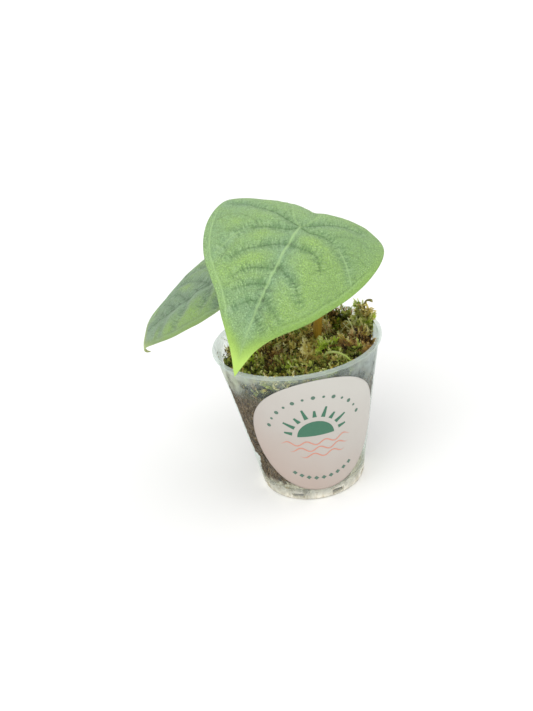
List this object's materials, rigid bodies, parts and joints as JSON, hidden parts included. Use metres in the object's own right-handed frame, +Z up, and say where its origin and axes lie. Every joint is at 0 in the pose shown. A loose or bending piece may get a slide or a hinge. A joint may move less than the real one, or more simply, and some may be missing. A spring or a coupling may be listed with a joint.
{
  "type": "potted alocasia plant",
  "caption": "Young alocasia with heart-shaped quilted leaves on thin stalks, rooted in mossy soil in a small clear tapered nursery pot with a round sticker.",
  "frame": {"origin": "centre of the pot's foot, on the surface that the pot stands on", "axes": "+Z up along the pot's axis; the label and the front leaf's drip tip face -Y"},
  "size_m": [0.0912, 0.0718, 0.1036],
  "materials": {
    "clear_plastic": "translucent cool grey polypropylene, satin",
    "sticker_paper": "matt coated paper",
    "potting_soil": "damp dark potting mix",
    "moss": "matt, green and brown mixed",
    "moss_runner": "satin",
    "stem_sheath": "satin, amber brown",
    "leaf_stalk": "satin",
    "leaf_front": "matt, finely pebbled",
    "leaf_back": "matt, finely pebbled"
  },
  "bodies": {
    "root": {"pot": "clear_plastic", "label": "sticker_paper", "soil": "potting_soil", "moss": "moss", "moss_runner": "moss_runner", "stem": "stem_sheath", "stalk_front": "leaf_stalk", "stalk_back": "leaf_stalk", "leaf_front": "leaf_front", "leaf_back": "leaf_back"}
  },
  "joints": []
}
